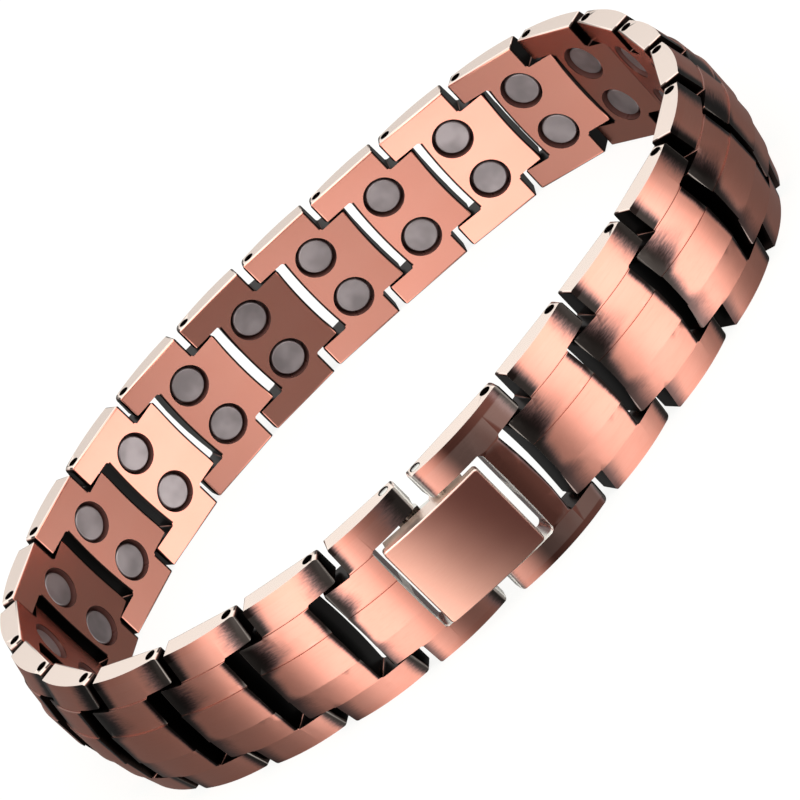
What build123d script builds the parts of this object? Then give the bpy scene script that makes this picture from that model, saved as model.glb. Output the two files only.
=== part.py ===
from build123d import *

import math
import os

# A magnetic link bracelet of flat copper links, standing on its edge as a closed loop.
# Sizes are in millimetres. Z is the wearer's arm axis, and the clasp faces -Y.

# Link chain
PITCH = 8.8                 # from pin to pin along a link
END_PITCH = 8.33            # from pin to pin along an end link
BAND_WIDTH = 14.4
INNER_FACE = 0.75           # from the pin line to the face on the skin
SKIN_EDGE = 0.22            # rounding of its side edges
TONGUE_WIDTH = 8.9
RECESS_WIDTH = 9.4          # between a link's two ears
SLOT_WIDTH = 9.6            # between an end link's rails
TONGUE_REACH = 1.05         # the tongue's end beyond its own pin
TONGUE_HOLLOW = 0.25        # how far the tongue's end is dished
SHOULDER = 1.85             # from the tongue's pin to the shoulder
RECESS_SETBACK = 2.07       # from the ear's pin back to the recess
RECESS_BOW = 0.22           # how far the recess edge is bowed
EAR_REACH = 1.05            # the ear's end beyond its pin
CROWN_RADIUS = 17.6         # arch of the outer face along a link

# Height of the outer face over the pin line at mid link, per lengthwise band
BANDS = (
    # z_from, z_to, height_from, height_to
    (1.75, 4.55, 2.72, 2.26),
    (4.55, BAND_WIDTH / 2, 2.13, 1.42),
)
MIDDLE_HALF = 1.75
MIDDLE_HEIGHT = 2.86

# Magnets
MAGNET_X = 4.1
MAGNET_Z = 2.8
POCKET_RADIUS = 2.02
POCKET_DEPTH = 2.2
MAGNET_RADIUS = 1.69
MAGNET_RECESS = 0.3
MAGNET_THICKNESS = 1.85
MAGNET_EDGE = 0.12

# Pins
PIN_HOLE_RADIUS = 0.5
LINK_PIN_RADIUS = 0.4
LINK_PIN_SUNK = 0.8
CLASP_PIN_RADIUS = 0.45
CLASP_PIN_SUNK = 0.04

# End links: the slot edge measured from the end link's own start pin
RIGHT_SLOT_EDGE = 4.29
RIGHT_RAIL_REACH = 0.93
LEFT_SLOT_EDGE = 4.36
LEFT_RAIL_REACH = 1.05

# Clasp, in a frame at the right clasp pin: x towards the right end link, y inwards
COVER_HEADING = -4.3
COVER_LEFT = -6.62
COVER_RIGHT = 3.62
COVER_WIDTH = 8.9
COVER_HEIGHT = 2.44
COVER_THICKNESS = 0.85
COVER_RADIUS = 45.0
COVER_CORNER = 0.35
COVER_BEVEL = 0.12
FLANGE_OUTER = 4.35
FLANGE_INNER = 3.85
FLANGE_LEFT = -1.05
FLANGE_RIGHT = 2.2
LIP_LEFT = -6.2
LIP_HEIGHT = 0.45           # of the low flange's edge over the pin line
LUG_RADIUS = 0.95
FOLD_X = 1.2                # hinge between cover and folding arm
FOLD_Y = -0.8
FOLD_PIN_RADIUS = 0.3
RUNNING_GAP = 0.08
ARM_WIDTH = 7.1
ARM_HOOK_WIDTH = 8.6
ARM_THICKNESS = 0.5
ARM_BEND_Y = 0.95           # where the arm turns from its knuckle towards the hook
ARM_KNUCKLE_RADIUS = 0.6
HOOK_INNER = 0.66
HOOK_OUTER = 1.12
HOOK_LIP = 0.15             # how far the hook's two edges reach past the pin's axis

# Heading of the right end link, and the bend at each link pin going round the wrist
START_HEADING = 6.34
BENDS = (
    # right side
    10.01, 3.95, 10.73, 23.11, 18.92, 14.23, 9.46, 22.03,
    # back
    26.26, 19.52, 5.88, 2.37, 8.68, 9.45, 16.03, 12.76,
    # left side and front
    15.40, 24.69, 16.81, 11.74, 23.86, 12.64, 10.70, 17.73,
)


def unit(heading):
    a = math.radians(heading)
    return math.cos(a), math.sin(a)


def loop():
    """Pin positions from the right clasp pin round to the left one, with each link's heading."""
    x, y, heading = 0.0, 0.0, START_HEADING
    pins, headings = [(x, y)], []
    lengths = [END_PITCH] + [PITCH] * (len(BENDS) - 1) + [END_PITCH]
    for length, bend in zip(lengths, (0.0,) + BENDS):
        heading += bend
        dx, dy = unit(heading)
        x, y = x + length * dx, y + length * dy
        pins.append((x, y))
        headings.append(heading)
    return pins, headings


def arch(height, x_mid, x):
    return CROWN_RADIUS - height - math.sqrt(CROWN_RADIUS ** 2 - (x - x_mid) ** 2)


def arched_side(height, x_from, x_to, tip_radius):
    """Side outline of one band: an arch outside, open towards the skin."""
    x_mid = (x_from + x_to) / 2
    a = (x_from, arch(height, x_mid, x_from))
    b = (x_to, arch(height, x_mid, x_to))
    with BuildSketch(Plane.XY) as side:
        with BuildLine():
            ThreePointArc(a, (x_mid, -height), b)
            Polyline(b, (x_to, 4), (x_from, 4), a)
        make_face()
        tips = side.vertices().filter_by(lambda v: v.Y < 1)
        fillet(tips, tip_radius)
    return side.sketch


def band(z_from, z_to, height_from, height_to, x_from, x_to, tip_radius):
    """One lengthwise band of the outer face, leaning from its inner to its outer edge."""
    side = Pos(0, 0, z_from) * arched_side(height_from, x_from, x_to, tip_radius)
    lean = Vector(0, height_from - height_to, z_to - z_from)
    return extrude(side, amount=lean.length, dir=lean.normalized())


def stepped_body(x_from, x_to, tip_radius, step):
    """The five lengthwise bands joined, with a small step between them or none."""
    body = extrude(arched_side(MIDDLE_HEIGHT, x_from, x_to, tip_radius), MIDDLE_HALF, both=True)
    height_before = MIDDLE_HEIGHT
    for z_from, z_to, height_from, height_to in BANDS:
        start = height_from if step else height_before
        upper = band(z_from, z_to, start, height_to, x_from, x_to, tip_radius)
        body = body + upper + mirror(upper, about=Plane.XY)
        height_before = height_to
    return body


def skin_side(x_from, x_to, tip_radius):
    """Everything outside the flat skin face, with its ends and side edges rounded."""
    with BuildSketch(Plane.XY) as side:
        with BuildLine():
            Polyline((x_from, INNER_FACE), (x_to, INNER_FACE), (x_to, -6), (x_from, -6), close=True)
        make_face()
        fillet(side.vertices().filter_by(lambda v: v.Y > 0), tip_radius)
    along = extrude(side.sketch, BAND_WIDTH, both=True)
    half = BAND_WIDTH / 2
    with BuildSketch(Plane.YZ) as section:
        with BuildLine():
            Polyline((INNER_FACE, -half), (INNER_FACE, half), (-6, half), (-6, -half), close=True)
        make_face()
        fillet(section.vertices().filter_by(lambda v: v.X > 0), SKIN_EDGE)
    across = extrude(section.sketch, 20, both=True)
    return along & across


def plan(points, roundings):
    """A face outline across the band, cut through from outside to skin.

    Each entry of points is a corner (x, z) or an arc's middle marked by a third value."""
    with BuildSketch(Plane.XZ) as face:
        with BuildLine():
            n = len(points)
            corners = [i for i, p in enumerate(points) if len(p) == 2]
            for k, i in enumerate(corners):
                j = corners[(k + 1) % len(corners)]
                if (i + 1) % n != j:
                    ThreePointArc(points[i], points[(i + 1) % n][:2], points[j])
                else:
                    Line(points[i], points[j])
        make_face()
        for (x, z), radius in roundings:
            picked = face.vertices().filter_by(
                lambda v: abs(v.X - x) < 0.01 and abs(abs(v.Y) - z) < 0.01)
            fillet(picked, radius)
    return extrude(face.sketch, 8, both=True)


def tongue_start():
    """Outline of a start with a tongue and two shoulders, from the lower to the upper side."""
    t, h = TONGUE_WIDTH / 2, BAND_WIDTH / 2
    return [
        (SHOULDER, -h), (SHOULDER, -t), (-TONGUE_REACH, -t),
        (TONGUE_HOLLOW - TONGUE_REACH, 0, 1),
        (-TONGUE_REACH, t), (SHOULDER, t), (SHOULDER, h),
    ]


def tongue_roundings():
    t, h = TONGUE_WIDTH / 2, BAND_WIDTH / 2
    return [((-TONGUE_REACH, t), 0.3), ((SHOULDER, t), 0.2), ((SHOULDER, h), 0.2)]


def ear_end(x_pin):
    """Outline of an end with two ears round a recess, from the upper to the lower side."""
    r, h = RECESS_WIDTH / 2, BAND_WIDTH / 2
    tip, floor = x_pin + EAR_REACH, x_pin - RECESS_SETBACK
    return [
        (tip, h), (tip, r), (floor, r),
        (floor + RECESS_BOW, 0, 1),
        (floor, -r), (tip, -r), (tip, -h),
    ]


def ear_roundings(x_pin):
    r, h = RECESS_WIDTH / 2, BAND_WIDTH / 2
    tip, floor = x_pin + EAR_REACH, x_pin - RECESS_SETBACK
    return [((tip, h), 0.5), ((tip, r), 0.3), ((floor, r), 0.25)]


def pin_hole(x):
    return Pos(x, 0, 0) * Cylinder(PIN_HOLE_RADIUS, BAND_WIDTH + 2)


def across_skin(radius, x, z, y_from, y_to):
    """A round rod through the band's thickness, from y_from to y_to."""
    rod = Rot(90, 0, 0) * Cylinder(radius, y_to - y_from)
    return Pos(x, (y_from + y_to) / 2, z) * rod


def band_link():
    """One link: tongue and shoulders at its start, two ears at its end, two magnet pockets."""
    x_from, x_to = -TONGUE_REACH, PITCH + EAR_REACH
    outline = plan(tongue_start() + ear_end(PITCH), tongue_roundings() + ear_roundings(PITCH))
    link = stepped_body(x_from, x_to, 0.3, True) & outline & skin_side(x_from, x_to, 0.3)
    link = link - pin_hole(0) - pin_hole(PITCH)
    for z in (-MAGNET_Z, MAGNET_Z):
        floor = INNER_FACE - POCKET_DEPTH
        link = link - across_skin(POCKET_RADIUS, MAGNET_X, z, floor, INNER_FACE + 1)
    return link


def right_end_link():
    """Rails with the right clasp pin at its start, two ears at its end, a slot for the cover."""
    s, h = SLOT_WIDTH / 2, BAND_WIDTH / 2
    start, edge = -RIGHT_RAIL_REACH, RIGHT_SLOT_EDGE
    x_to = END_PITCH + EAR_REACH
    points = [(start, -h), (start, -s), (edge, -s), (edge, s), (start, s), (start, h)]
    rounds = [((start, h), 0.4), ((start, s), 0.3), ((edge, s), 0.5)]
    outline = plan(points + ear_end(END_PITCH), rounds + ear_roundings(END_PITCH))
    link = stepped_body(start, x_to, 0.4, False) & outline & skin_side(start, x_to, 0.4)
    return link - pin_hole(0) - pin_hole(END_PITCH)


def left_end_link():
    """Tongue and shoulders at its start, rails with the left clasp pin at its end."""
    s, h = SLOT_WIDTH / 2, BAND_WIDTH / 2
    tip, edge = END_PITCH + LEFT_RAIL_REACH, LEFT_SLOT_EDGE
    points = [(tip, h), (tip, s), (edge, s), (edge, -s), (tip, -s), (tip, -h)]
    rounds = [((tip, h), 0.35), ((tip, s), 0.3), ((edge, s), 0.3)]
    outline = plan(tongue_start() + points, tongue_roundings() + rounds)
    x_from = -TONGUE_REACH
    link = stepped_body(x_from, tip, 0.4, True) & outline & skin_side(x_from, tip, 0.4)
    return link - pin_hole(0) - pin_hole(END_PITCH)


def magnet():
    """One disc magnet lying in its pocket, a little below the skin face."""
    top = INNER_FACE - MAGNET_RECESS
    disc = Cylinder(MAGNET_RADIUS, MAGNET_THICKNESS)
    disc = chamfer(disc.edges().group_by(Axis.Z)[-1], MAGNET_EDGE)
    return Pos(MAGNET_X, top - MAGNET_THICKNESS / 2, 0) * Rot(-90, 0, 0) * disc


def cover_arc(radius, x):
    """A point of an arc that lies along the cover plate."""
    x_mid = (COVER_LEFT + COVER_RIGHT) / 2
    return x, COVER_RADIUS - COVER_HEIGHT - math.sqrt(radius ** 2 - (x - x_mid) ** 2)


def cover_strip(outer_radius, inner_radius, x_from, x_to):
    """Side outline of a curved strip along the cover plate."""
    x_mid = (x_from + x_to) / 2
    a, b = cover_arc(outer_radius, x_from), cover_arc(outer_radius, x_to)
    c, d = cover_arc(inner_radius, x_to), cover_arc(inner_radius, x_from)
    with BuildSketch(Plane.XY) as side:
        with BuildLine():
            ThreePointArc(a, cover_arc(outer_radius, x_mid), b)
            Line(b, c)
            ThreePointArc(c, cover_arc(inner_radius, x_mid), d)
            Line(d, a)
        make_face()
    return side.sketch


def cover_plate():
    """The arched plate with rounded corners and a thin bevel round its outer face."""
    strip = cover_strip(COVER_RADIUS, COVER_RADIUS - COVER_THICKNESS, COVER_LEFT, COVER_RIGHT)
    face = RectangleRounded(COVER_RIGHT - COVER_LEFT, COVER_WIDTH, COVER_CORNER)
    face = Pos((COVER_LEFT + COVER_RIGHT) / 2, 0, 0) * (Plane.XZ * face)
    plate = extrude(strip, COVER_WIDTH / 2, both=True) & extrude(face, COVER_WIDTH, both=True)
    top = cover_arc(COVER_RADIUS, COVER_LEFT)[1]
    outer_edges = [e for e in plate.edges() if e.center().Y < top + 0.02]
    return chamfer(outer_edges, COVER_BEVEL)


def cover_flange():
    """Side outline of a flange: a web round both pins, and a lower lip towards the left."""
    inside = COVER_RADIUS - COVER_THICKNESS / 2
    web = cover_strip(inside, COVER_RADIUS - COVER_HEIGHT, FLANGE_LEFT, FLANGE_RIGHT)
    lip = cover_strip(inside, COVER_RADIUS - COVER_HEIGHT + LIP_HEIGHT, LIP_LEFT, FLANGE_LEFT)
    return web + lip + Circle(LUG_RADIUS) - Circle(CLASP_PIN_RADIUS + RUNNING_GAP)


def clasp_cover():
    """Cover plate, two flanges under it, and the fold pin held between the flanges."""
    cover = cover_plate()
    wall = extrude(cover_flange(), FLANGE_OUTER - FLANGE_INNER)
    for z in (-FLANGE_OUTER, FLANGE_INNER):
        cover = cover + Pos(0, 0, z) * wall
    pin_length = FLANGE_OUTER + FLANGE_INNER
    return cover + Pos(FOLD_X, FOLD_Y, 0) * Cylinder(FOLD_PIN_RADIUS, pin_length)


def arm_strip(start, end):
    """Side outline of a straight stretch of the arm, with round ends."""
    start, end = Vector(*start), Vector(*end)
    along = (end - start).normalized()
    half = Vector(-along.Y, along.X) * (ARM_THICKNESS / 2)
    corners = (start + half, end + half, end - half, start - half)
    with BuildSketch(Plane.XY) as strip:
        with BuildLine():
            Polyline(*[(p.X, p.Y) for p in corners], close=True)
        make_face()
    ends = [Pos(p.X, p.Y) * Circle(ARM_THICKNESS / 2) for p in (start, end)]
    return strip.sketch + ends[0] + ends[1]


def folding_arm(hook_x, hook_y):
    """Inner arm: a knuckle on the fold pin, a bent plate, and a hook under the left clasp pin."""
    reach = 3 * HOOK_OUTER
    throat = Circle(HOOK_INNER) + Pos(0, -reach / 2) * Rectangle(2 * HOOK_INNER, reach)
    past_lip = Pos(0, -HOOK_LIP - reach / 2) * Rectangle(2 * reach, reach)
    curl = Circle(HOOK_OUTER) - throat - past_lip
    at_hook = Pos(hook_x, hook_y)
    at_fold = Pos(FOLD_X, FOLD_Y)
    bend = (FOLD_X, ARM_BEND_Y)
    plate = arm_strip((FOLD_X, FOLD_Y), bend)
    plate = plate + arm_strip(bend, (hook_x, hook_y + HOOK_OUTER - ARM_THICKNESS / 2))
    plate = plate + at_fold * Circle(ARM_KNUCKLE_RADIUS)
    plate = plate - at_fold * Circle(FOLD_PIN_RADIUS + RUNNING_GAP) - at_hook * throat
    return extrude(plate, ARM_WIDTH / 2, both=True) + extrude(
        at_hook * curl, ARM_HOOK_WIDTH / 2, both=True)


def placed(shape, pin, heading):
    return Pos(pin[0], pin[1], 0) * Rot(0, 0, heading) * shape


def in_cover_frame(pin, origin):
    """A pin's place seen from the right clasp pin along and across the cover."""
    ux, uy = unit(COVER_HEADING)
    dx, dy = pin[0] - origin[0], pin[1] - origin[1]
    return dx * ux + dy * uy, dy * ux - dx * uy


def build():
    """Every piece by its node name, with the right clasp pin at the origin."""
    pins, headings = loop()
    right_pin, left_pin = pins[0], pins[-1]
    chain = list(zip(pins[1:-2], headings[1:-1]))
    parts = {}
    link = band_link()
    for number, (pin, heading) in enumerate(chain, start=1):
        parts["link_%02d" % number] = placed(link, pin, heading)
    parts["end_link_right"] = placed(right_end_link(), right_pin, headings[0])
    parts["end_link_left"] = placed(left_end_link(), pins[-2], headings[-1])
    disc = magnet()
    for name, z in (("magnets_upper", MAGNET_Z), ("magnets_lower", -MAGNET_Z)):
        parts[name] = Compound([placed(Pos(0, 0, z) * disc, pin, turn) for pin, turn in chain])
    rod = Cylinder(LINK_PIN_RADIUS, BAND_WIDTH - 2 * LINK_PIN_SUNK)
    parts["link_pins"] = Compound([placed(rod, pin, 0) for pin in pins[1:-1]])
    clasp_rod = Cylinder(CLASP_PIN_RADIUS, BAND_WIDTH - 2 * CLASP_PIN_SUNK)
    parts["clasp_pin_right"] = placed(clasp_rod, right_pin, 0)
    parts["clasp_pin_left"] = placed(clasp_rod, left_pin, 0)
    parts["clasp_cover"] = placed(clasp_cover(), right_pin, COVER_HEADING)
    arm = folding_arm(*in_cover_frame(left_pin, right_pin))
    parts["clasp_arm"] = placed(arm, right_pin, COVER_HEADING)
    return parts


def standing(parts):
    """Moves the loop so that its box stands centred on the origin, on its edge."""
    boxes = [s.bounding_box() for s in parts.values()]
    x_mid = (min(b.min.X for b in boxes) + max(b.max.X for b in boxes)) / 2
    y_mid = (min(b.min.Y for b in boxes) + max(b.max.Y for b in boxes)) / 2
    shift = Pos(-x_mid, -y_mid, BAND_WIDTH / 2)
    return {name: shift * shape for name, shape in parts.items()}, shift.position


if __name__ == "__main__":
    os.makedirs("parts", exist_ok=True)
    made, right_pin = standing(build())
    for name, shape in made.items():
        export_step(shape, "parts/%s.step" % name)
    ux, uy = unit(COVER_HEADING)
    fold_pin = (right_pin.X + FOLD_X * ux - FOLD_Y * uy, right_pin.Y + FOLD_X * uy + FOLD_Y * ux)
    print("right clasp pin at %.4f, %.4f" % (right_pin.X, right_pin.Y))
    print("fold pin at %.4f, %.4f" % fold_pin)
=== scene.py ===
import math

import bmesh
import bpy
from mathutils import Matrix, Vector

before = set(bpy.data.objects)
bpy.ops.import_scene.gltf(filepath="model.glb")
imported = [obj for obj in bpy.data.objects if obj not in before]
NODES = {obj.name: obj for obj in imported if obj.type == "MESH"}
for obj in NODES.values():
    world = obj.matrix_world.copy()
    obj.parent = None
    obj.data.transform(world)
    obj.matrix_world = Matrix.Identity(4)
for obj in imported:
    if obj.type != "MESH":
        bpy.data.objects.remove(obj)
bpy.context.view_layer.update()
MM = 0.001

# Sizes of a link, in millimetres, measured from the pin in its tongue
INNER_FACE = 0.75           # from the pin line to the skin face
TONGUE_END = -1.05
SHOULDER = 1.85
RECESS = 6.73
EAR_END = 9.85
TONGUE_BOW, RECESS_BOW = 0.25, 0.22
TONGUE_HALF = 4.45
EAR_HALF = 4.7
HALF_WIDTH = 7.2
PITCH = 8.8
END_SHORTER = 0.47          # how much shorter the end links are
RIGHT_SLOT, LEFT_SLOT = 4.29, 4.36
RIGHT_RAIL_END = -0.93
STEPS = (1.75, 4.55)        # where the outer face steps down, from its middle
MAGNET_X, MAGNET_Z = 4.1, 2.8
POCKET_RADIUS = 2.02
POCKET_FLOOR = -1.45
PIN_HOLE = 0.5
COVER_HEADING = -4.3        # degrees
COVER_SHADE_X = -2.25       # about where the cover's painted shade turns it from peach to dark, along it
LINK_EDGE, COVER_EDGE_WIDTH, SMALL_EDGE = 0.05, 0.06, 0.05

# How the finish of a link lies on its shape: the pin spacing, where its outline starts and ends,
# how far those ends are bowed, how far the patina reaches from them, where the walls of its gaps
# are polished and given a painted bright reflection, and where it turns red-brown (from, fade,
# strength)
NOWHERE = 30.0
END_PITCH = PITCH - END_SHORTER
LINK_SHAPE = {
    "pitch": PITCH,
    "edges": (TONGUE_END, SHOULDER, RECESS, EAR_END),
    "bows": (TONGUE_BOW, RECESS_BOW),
    "reaches": (4.4, 2.0, 0.8, 2.8),
    "bright_walls": (NOWHERE, NOWHERE),
    "brown": (NOWHERE, 1.0, 0.0),
}
END_SHAPES = {
    "end_link_right": {
        "pitch": END_PITCH,
        "edges": (RIGHT_SLOT, RIGHT_RAIL_END, RECESS - END_SHORTER, EAR_END - END_SHORTER),
        "bows": (0.0, RECESS_BOW),
        "reaches": (0.01, 0.9, 0.4, 1.5),
        "bright_walls": (-1.0, 4.4),
        "brown": (0.4, 2.4, 0.95),
    },
    "end_link_left": {
        "pitch": END_PITCH,
        "edges": (TONGUE_END, SHOULDER, LEFT_SLOT, EAR_END - END_SHORTER),
        "bows": (TONGUE_BOW, 0.0),
        "reaches": (2.2, 1.2, 0.01, 3.6),
        "bright_walls": (3.5, 12.0),
        "brown": (2.6, 3.6, 0.6),
    },
}

# The photograph's camera
IMAGE = 800
LOOK_AT = Vector((0.70, -19.32, 14.4)) * MM
CAMERA_DISTANCE = 302.46 * MM
CAMERA_ELEVATION = 23.463
CAMERA_ROLL = -44.806
FOCAL_PIXELS = 3637.44
SENSOR_MM = 36.0

# Finishes, as linear colours
COPPER = (0.85, 0.345, 0.255)
COPPER_PINK = (0.87, 0.39, 0.30)
# Paler copper for the polished sides, a painted sheen
COPPER_PALE_SHEEN = (0.95, 0.80, 0.715)
COPPER_DEEP = (0.70, 0.23, 0.16)
RED_BROWN = (0.05, 0.016, 0.012)
SMOKE = (0.17, 0.10, 0.095)
# Black of the patina, also used on the gap walls, and as painted shade along the gap edges and in
# the pin holes
OXIDE_AND_SHADE = (0.012, 0.008, 0.007)
# Polished metal; on the walls round the clasp also a painted bright reflection
POLISHED_AND_PAINTED_REFLECTION = (0.86, 0.84, 0.79)
# A painted highlight along the outer edges
RIM_GLINT = (0.75, 0.66, 0.60)
# Painted shade: the link pins are black, for the dark deep in their holes
PIN_SHADE_BLACK = (0.02, 0.014, 0.013)
MAGNET_GREY = (0.36, 0.315, 0.32)
POCKET_BROWN = (0.15, 0.065, 0.055)
# Painted shade in the creases of the outer face's steps
STEP_SHADE_BROWN = (0.25, 0.12, 0.095)
COVER_PEACH = (0.93, 0.50, 0.385)
# Painted shade on the cover, towards its hinged end
COVER_PAINTED_SHADE = (0.22, 0.072, 0.056)
# A painted sheen on the cover's sides and underside
COVER_EDGE = (0.90, 0.74, 0.66)
STREAK = 2.0                # how strongly the brush lines break up the patina

# Studio light: azimuth seen from above with 0 along +X, half widths and strength
SOFTBOXES = (
    # azimuth, half_width, fade, strength
    (229, 11, 14, 1.85),
    (252, 6, 10, 0.45),
    (316, 14, 16, 1.85),
)
ROOM = 0.16
SKY = 1.02


class Value:
    """A shader socket that takes part in Python's arithmetic."""

    def __init__(self, tree, socket):
        self.tree = tree
        self.socket = socket

    def __add__(self, other):
        return self.tree.maths("ADD", self, other)

    def __radd__(self, other):
        return self.tree.maths("ADD", other, self)

    def __sub__(self, other):
        return self.tree.maths("SUBTRACT", self, other)

    def __rsub__(self, other):
        return self.tree.maths("SUBTRACT", other, self)

    def __mul__(self, other):
        return self.tree.maths("MULTIPLY", self, other)

    def __rmul__(self, other):
        return self.tree.maths("MULTIPLY", other, self)

    def __truediv__(self, other):
        return self.tree.maths("DIVIDE", self, other)

    def __rtruediv__(self, other):
        return self.tree.maths("DIVIDE", other, self)

    def __abs__(self):
        return self.tree.maths("ABSOLUTE", self)

    def __pow__(self, other):
        return self.tree.maths("POWER", self, other)


class Tree:
    """A node tree, with one method that adds any node."""

    def __init__(self, tree):
        self.tree = tree

    def node(self, kind, settings=None, inputs=None):
        """Adds a node: its settings first, then the values or links of its sockets."""
        made = self.tree.nodes.new("ShaderNode" + kind)
        for name, value in (settings or {}).items():
            setattr(made, name, value)
        for name, value in (inputs or {}).items():
            self.feed(made.inputs[name], value)
        return made

    def feed(self, socket, value):
        if isinstance(value, Value):
            self.tree.links.new(value.socket, socket)
        elif isinstance(value, bpy.types.NodeSocket):
            self.tree.links.new(value, socket)
        elif socket.type == "RGBA" and len(value) == 3:
            socket.default_value = (*value, 1.0)
        else:
            socket.default_value = value

    def value(self, socket):
        return Value(self, socket)

    def maths(self, operation, a, b=0.0, clamp=False):
        settings = {"operation": operation, "use_clamp": clamp}
        return self.value(self.node("Math", settings, {0: a, 1: b}).outputs[0])

    def clamped(self, a):
        return self.maths("ADD", a, 0.0, clamp=True)

    def larger(self, a, b):
        return self.maths("MAXIMUM", a, b)

    def smaller(self, a, b):
        return self.maths("MINIMUM", a, b)

    def ramp(self, value, low, high):
        """0 at low and 1 at high, with a soft start and end."""
        settings = {"interpolation_type": "SMOOTHSTEP"}
        inputs = {"Value": value, "From Min": low, "From Max": high}
        return self.value(self.node("MapRange", settings, inputs).outputs["Result"])

    def blend(self, factor, a, b):
        """Colour a where factor is 0 and b where it is 1."""
        made = self.node("Mix", {"data_type": "RGBA"}, {0: factor, 6: a, 7: b})
        return made.outputs[2]

    def stretched(self, vector, along, across, through):
        factors = (along, across, through)
        made = self.node("VectorMath", {"operation": "MULTIPLY"}, {0: vector, 1: factors})
        return made.outputs["Vector"]

    def noise(self, vector, scale, detail=2.0, roughness=0.5):
        inputs = {"Vector": vector, "Scale": scale, "Detail": detail, "Roughness": roughness}
        return self.value(self.node("TexNoise", None, inputs).outputs["Fac"])


class Finish(Tree):
    """A material whose pattern lies in a piece's own frame, in millimetres."""

    def __init__(self, name, origin=(0, 0, 0), heading=0.0):
        self.material = bpy.data.materials.new(name)
        self.material.use_nodes = True
        super().__init__(self.material.node_tree)
        self.shader = self.tree.nodes["Principled BSDF"]
        self.heading = heading
        place = self.node("TexCoord")
        self.local = self.node(
            "Mapping", {"vector_type": "TEXTURE"},
            {"Vector": place.outputs["Object"], "Location": origin,
             "Rotation": (0, 0, heading), "Scale": (MM, MM, MM)}).outputs["Vector"]
        self.normal = place.outputs["Normal"]
        parts = self.node("SeparateXYZ", None, {0: self.local}).outputs
        self.x, self.y, self.z = (self.value(s) for s in parts)

    def facing(self, direction):
        """How far the surface faces a direction of the piece's frame, from -1 to 1."""
        turned = Matrix.Rotation(self.heading, 3, "Z") @ Vector(direction)
        made = self.node("VectorMath", {"operation": "DOT_PRODUCT"}, {0: self.normal, 1: turned})
        return self.value(made.outputs["Value"])

    def bump(self, height, distance_mm, strength):
        inputs = {"Height": height, "Distance": distance_mm * MM, "Strength": strength}
        return self.node("Bump", None, inputs).outputs["Normal"]

    def set(self, **sockets):
        for name, value in sockets.items():
            self.feed(self.shader.inputs[name.replace("_", " ")], value)
        return self.material


def dress(obj, material):
    obj.data.materials.clear()
    obj.data.materials.append(material)


def piece_frame(obj):
    """A link's directions along the band and towards the skin, and how far it reaches in each."""
    areas = {}
    for face in obj.data.polygons:
        if abs(face.normal.z) < 0.01:
            key = (round(face.normal.x, 2), round(face.normal.y, 2))
            areas.setdefault(key, []).append(face)
    skin = max(areas.values(), key=lambda faces: sum(f.area for f in faces))
    inward = sum((f.normal * f.area for f in skin), Vector()).normalized()
    along = Vector((inward.y, -inward.x, 0))
    points = [v.co for v in obj.data.vertices]
    last = max(p.dot(along) for p in points)
    face = max(p.dot(inward) for p in points)
    return along, inward, last, face


def brushed(f, seed):
    """Fine lines along the piece, from 0 to 1."""
    lines = f.stretched(f.local, 0.10, 2.2, 2.2)
    return f.noise(lines, 3.2 + 0.01 * seed, detail=4.0, roughness=0.6)


def worn_edge(f, distance, reach, streaks):
    """Patina from an edge: 1 there, and thinning out over its reach in brushed streaks."""
    fade = 1 - f.ramp(distance / reach, 0.0, 1.0)
    return f.clamped(fade + STREAK * (streaks - 0.5) * fade * (1 - fade))


def end_distances(f, shape, wide):
    """How far a point lies from the outline of the piece's start and of its end."""
    start, shoulder, recess, ear = shape["edges"]
    tongue_bow, recess_bow = shape["bows"]
    bow = 1 - (f.z / TONGUE_HALF) ** 2.0
    start = start + tongue_bow * bow
    recess = recess + recess_bow * bow
    return f.x - (start + wide * (shoulder - start)), recess + wide * (ear - recess) - f.x


def patina(f, from_start, from_end, reaches, streaks, cloud, wide):
    """How black the outer face is, from 0 to 1: heaviest where the ends meet their neighbours."""
    tongue_reach, shoulder_reach, recess_reach, ear_reach = reaches
    height = abs(f.z)
    # It is thinnest on the raised middle, and thicker on the upper half of a tongue
    slope = f.ramp(height, 1.0, 2.6) * (1 - wide)
    upper = f.ramp(f.z, -4.0, 4.0)
    at_tongue = tongue_reach * (0.35 + 0.65 * slope) * (0.8 + 0.4 * upper)
    start_reach = (at_tongue * (1 - wide) + shoulder_reach * wide) * (0.5 + 1.0 * cloud)
    at_ears = recess_reach * (1 - wide) + ear_reach * wide
    end_reach = at_ears * (0.55 + 0.6 * upper) * (0.7 + 0.6 * cloud)
    at_start = worn_edge(f, from_start, start_reach, streaks)
    return f.larger(at_start * (0.62 + 0.38 * upper), worn_edge(f, from_end, end_reach, streaks))


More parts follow.
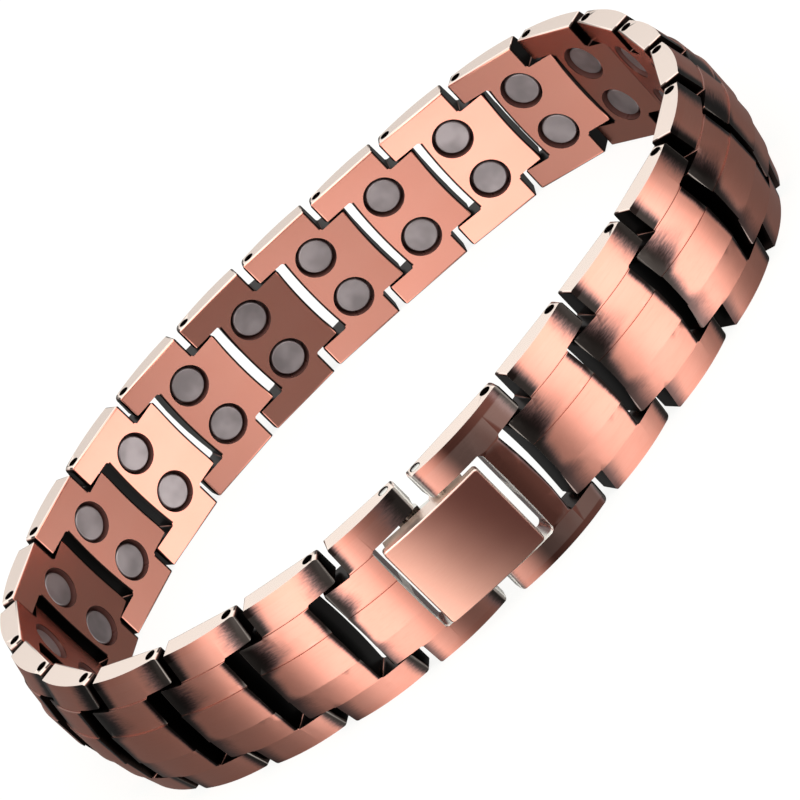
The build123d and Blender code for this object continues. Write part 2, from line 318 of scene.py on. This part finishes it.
def antique_copper(name, origin, heading, seed, shape):
    """Brushed copper with a black patina where the link's ends meet their neighbours."""
    f = Finish(name, origin, heading)
    height = abs(f.z)
    streaks = brushed(f, seed)
    cloud = f.noise(f.stretched(f.local, 0.30, 0.5, 0.42), 0.55 + 0.017 * seed, detail=1.0)
    outside = f.ramp(f.facing((0, -1, 0)), 0.35, 0.75)
    wide = f.ramp(height, TONGUE_HALF, EAR_HALF)
    from_start, from_end = end_distances(f, shape, wide)
    dark = patina(f, from_start, from_end, shape["reaches"], streaks, cloud, wide) * outside
    # Walls of the gaps are black; only round the clasp are they polished, with a pale, barely
    # metallic colour that paints in a bright reflection
    along = abs(f.facing((1, 0, 0)))
    over = abs(f.facing((0, 0, 1)))
    outer = f.ramp(height, HALF_WIDTH - 0.8, HALF_WIDTH - 0.4)
    middle_step, outer_step = STEPS
    from_step = f.smaller(abs(height - middle_step), abs(height - outer_step))
    step = 1 - f.ramp(from_step, 0.05, 0.07)
    inner = (1 - outer) * (1 - step)
    wall = f.larger(f.ramp(along, 0.55, 0.85), f.ramp(over, 0.6, 0.9) * inner)
    side = f.ramp(over, 0.6, 0.9) * outer
    low, high = shape["bright_walls"]
    polish_and_painted_reflection = f.ramp(f.x, low, low + 0.1) * (1 - f.ramp(f.x, high, high + 0.1))
    tone = f.blend(cloud, COPPER_PINK, COPPER)
    tone = f.blend(f.ramp(streaks, 0.45, 0.8) * 0.15 * outside, tone, COPPER_DEEP)
    brown_from, fade, strength = shape["brown"]
    brown = f.ramp(f.x, brown_from, brown_from + fade)
    colour = f.blend(brown * outside * strength, tone, RED_BROWN)
    colour = f.blend(f.ramp(dark, 0.0, 0.75), colour, SMOKE)
    colour = f.blend(f.ramp(dark, 0.45, 0.9), colour, OXIDE_AND_SHADE)
    # The narrow sides are polished, and paler as a painted sheen
    colour = f.blend(side, colour, COPPER_PALE_SHEEN)
    # Painted shade: a dark line follows the gaps and edges on the skin side; a faint bright line
    # along the edges outside is a painted highlight
    edge_shade_and_glint = f.ramp(f.larger(along, over * inner), 0.2, 0.5) * (1 - wall)
    gap_shade_line = (1 - f.ramp(f.smaller(from_start, from_end), 0.12, 0.24)) * (1 - side)
    skin_side = f.ramp(f.y, 0.0, 0.2)
    colour = f.blend(f.larger(edge_shade_and_glint, gap_shade_line) * skin_side, colour, OXIDE_AND_SHADE)
    colour = f.blend(edge_shade_and_glint * (1 - skin_side) * 0.3, colour, RIM_GLINT)
    # Painted shade in the creases where the outer face steps down
    colour = f.blend(step * f.ramp(over, 0.2, 0.5), colour, STEP_SHADE_BROWN)
    # Round the clasp the walls take a pale colour, a painted bright reflection
    colour = f.blend(wall, colour, f.blend(polish_and_painted_reflection, OXIDE_AND_SHADE, POLISHED_AND_PAINTED_REFLECTION))
    across = f.maths("SQRT", (f.x - MAGNET_X) ** 2.0 + (height - MAGNET_Z) ** 2.0)
    below_face = 1 - f.ramp(f.y, INNER_FACE - 0.10, INNER_FACE - 0.02)
    above_floor = f.ramp(f.y, POCKET_FLOOR - 0.35, POCKET_FLOOR - 0.15)
    within = 1 - f.ramp(across, POCKET_RADIUS - 0.01, POCKET_RADIUS + 0.10)
    pocket = within * below_face * above_floor
    colour = f.blend(pocket, colour, POCKET_BROWN)
    # Painted shade: the pin holes are black inside
    for pin in (0.0, shape["pitch"]):
        bore = f.maths("SQRT", (f.x - pin) ** 2.0 + f.y ** 2.0)
        colour = f.blend(1 - f.ramp(bore, PIN_HOLE + 0.01, PIN_HOLE + 0.05), colour, OXIDE_AND_SHADE)
    satin = 0.27 + 0.12 * streaks * outside - 0.10 * side
    rough = satin + wall * (0.30 - 0.16 * polish_and_painted_reflection - satin)
    bump = f.bump(streaks, 0.02, 0.3 * outside)
    metal = 1 - f.larger(wall * polish_and_painted_reflection, pocket) * 0.8
    return f.set(Base_Color=colour, Metallic=metal, Roughness=rough, Normal=bump)


def satin_copper(name, origin, heading):
    """The clasp cover's satin copper, darkened by painted shade towards its hinged end."""
    f = Finish(name, origin, heading)
    lines = f.noise(f.stretched(f.local, 0.2, 3.0, 3.0), 4.0, detail=3.0)
    cloud = f.noise(f.local, 0.25, detail=1.0)
    tone = f.blend(lines * 0.3, COVER_PEACH, COPPER)
    # Painted shade: the cover darkens from peach towards its hinged end
    painted_shade = f.ramp(f.x - COVER_SHADE_X + 0.45 * f.z + 1.5 * (cloud - 0.5), -6.0, 5.6)
    tone = f.blend(painted_shade * 0.93, tone, COVER_PAINTED_SHADE)
    # All but the cover's outer face is pale, a painted sheen
    outside = f.ramp(f.facing((0, -1, 0)), 0.5, 0.9)
    colour = f.blend(1 - outside, tone, COVER_EDGE)
    return f.set(Base_Color=colour, Metallic=1.0, Roughness=0.30 + 0.06 * lines,
                 Normal=f.bump(lines, 0.008, 0.2))


def polished_metal(name, tint, roughness):
    f = Finish(name)
    smear = f.noise(f.local, 0.6, detail=3.0)
    return f.set(Base_Color=f.blend(smear, tint, tuple(0.75 * c for c in tint)), Metallic=1.0,
                 Roughness=roughness + 0.1 * smear)


def magnet_metal(name):
    f = Finish(name)
    grain = f.noise(f.local, 9.0, detail=4.0)
    cloud = f.noise(f.local, 0.35, detail=2.0)
    colour = f.blend(f.ramp(cloud, 0.3, 0.7), MAGNET_GREY, tuple(0.62 * c for c in MAGNET_GREY))
    return f.set(Base_Color=colour, Metallic=0.85, Roughness=0.36 + 0.12 * grain,
                 Normal=f.bump(grain, 0.008, 0.3))


def soften(obj, width_mm):
    """Joins a CAD mesh's loose triangles and breaks its sharp edges, and keeps flat faces flat."""
    weld = obj.modifiers.new("weld", "WELD")
    weld.merge_threshold = 1e-6
    flat = obj.modifiers.new("flat faces", "DECIMATE")
    flat.decimate_type = "DISSOLVE"
    flat.angle_limit = math.radians(0.5)
    bevel = obj.modifiers.new("edges", "BEVEL")
    bevel.width = width_mm * MM
    bevel.segments = 2
    bevel.limit_method = "ANGLE"
    bevel.angle_limit = math.radians(35)
    flats = obj.modifiers.new("flats", "WEIGHTED_NORMAL")
    flats.mode = "FACE_AREA"
    flats.weight = 100
    flats.keep_sharp = True
    for face in obj.data.polygons:
        face.use_smooth = True


def dress_band():
    for name, obj in NODES.items():
        if not name.startswith(("link_0", "link_1", "link_2", "end_link")):
            continue
        shape = END_SHAPES.get(name, LINK_SHAPE)
        along, inward, last, face = piece_frame(obj)
        tip = shape["pitch"] + EAR_END - PITCH
        pin = along * (last - tip * MM) + inward * (face - INNER_FACE * MM)
        pin.z = HALF_WIDTH * MM
        seed = sum(ord(c) for c in name) % 17
        heading = math.atan2(along.y, along.x)
        dress(obj, antique_copper(name + "_copper", pin, heading, seed, shape))
        soften(obj, LINK_EDGE)


def dress_clasp():
    cover = NODES["clasp_cover"]
    dress(cover, satin_copper("cover_copper", (0, 0, HALF_WIDTH * MM), math.radians(COVER_HEADING)))
    soften(cover, COVER_EDGE_WIDTH)
    dress(NODES["clasp_arm"], polished_metal("arm_metal", POLISHED_AND_PAINTED_REFLECTION, 0.15))
    soften(NODES["clasp_arm"], SMALL_EDGE)
    pin_metal = polished_metal("clasp_pin_metal", POLISHED_AND_PAINTED_REFLECTION, 0.12)
    for name in ("clasp_pin_right", "clasp_pin_left"):
        dress(NODES[name], pin_metal)
        soften(NODES[name], SMALL_EDGE)
    # Painted shade: the link pins are black, for the dark deep in their holes
    dress(NODES["link_pins"], polished_metal("link_pin_metal", PIN_SHADE_BLACK, 0.5))
    metal = magnet_metal("magnet_metal")
    for name in ("magnets_upper", "magnets_lower"):
        dress(NODES[name], metal)
        soften(NODES[name], SMALL_EDGE)


def add_floor():
    """A plain white table that glows a little, so that it stays pale under the bracelet."""
    mesh = bpy.data.meshes.new("floor")
    bm = bmesh.new()
    bmesh.ops.create_grid(bm, x_segments=1, y_segments=1, size=3.0)
    bm.to_mesh(mesh)
    bm.free()
    floor = bpy.data.objects.new("floor", mesh)
    bpy.context.scene.collection.objects.link(floor)
    floor.location.z = -0.02 * MM
    floor.visible_glossy = False
    f = Finish("floor_white")
    f.set(Base_Color=(0.12, 0.12, 0.12), Roughness=1.0, Specular_IOR_Level=0.0,
          Emission_Color=(0.97, 0.97, 0.955), Emission_Strength=0.9)
    dress(floor, f.material)


def add_light():
    """Tall softboxes beside the camera, a bright ceiling and a dim room."""
    world = bpy.data.worlds.new("studio")
    world.use_nodes = True
    bpy.context.scene.world = world
    tree = Tree(world.node_tree)
    direction = tree.node("TexCoord").outputs["Generated"]
    up = tree.value(tree.node("SeparateXYZ", None, {0: direction}).outputs[2])
    level = tree.node("VectorMath", {"operation": "MULTIPLY"}, {0: direction, 1: (1, 1, 0)})
    level = tree.node("VectorMath", {"operation": "NORMALIZE"}, {0: level.outputs[0]}).outputs[0]
    light = ROOM
    for azimuth, half_width, fade, strength in SOFTBOXES:
        a = math.radians(azimuth)
        aim = (math.cos(a), math.sin(a), 0)
        near = tree.node("VectorMath", {"operation": "DOT_PRODUCT"}, {0: level, 1: aim})
        near = tree.value(near.outputs["Value"])
        edge = math.cos(math.radians(half_width + fade))
        box = tree.ramp(near, edge, math.cos(math.radians(half_width)))
        light = light + strength * box * tree.ramp(up, -1.25, -0.55)
    light = light + SKY * tree.ramp(up, 0.15, 0.5)
    back = world.node_tree.nodes["Background"]
    back.inputs["Color"].default_value = (1, 1, 0.985, 1)
    tree.feed(back.inputs["Strength"], light)


def add_camera():
    data = bpy.data.cameras.new("camera")
    data.sensor_width = SENSOR_MM
    data.lens = SENSOR_MM * FOCAL_PIXELS / IMAGE
    data.clip_start = 0.01
    camera = bpy.data.objects.new("camera", data)
    bpy.context.scene.collection.objects.link(camera)
    elevation, roll = math.radians(CAMERA_ELEVATION), math.radians(CAMERA_ROLL)
    back = Vector((0, -math.cos(elevation), math.sin(elevation)))
    right = Vector((1, 0, 0))
    up = back.cross(right)
    turn = Matrix.Rotation(roll, 3, "Z")
    axes = Matrix((right, up, back)).transposed() @ turn
    camera.matrix_world = Matrix.Translation(LOOK_AT + back * CAMERA_DISTANCE) @ axes.to_4x4()
    bpy.context.scene.camera = camera


bpy.context.scene.view_settings.view_transform = "Standard"
dress_band()
dress_clasp()
add_floor()
add_light()
add_camera()
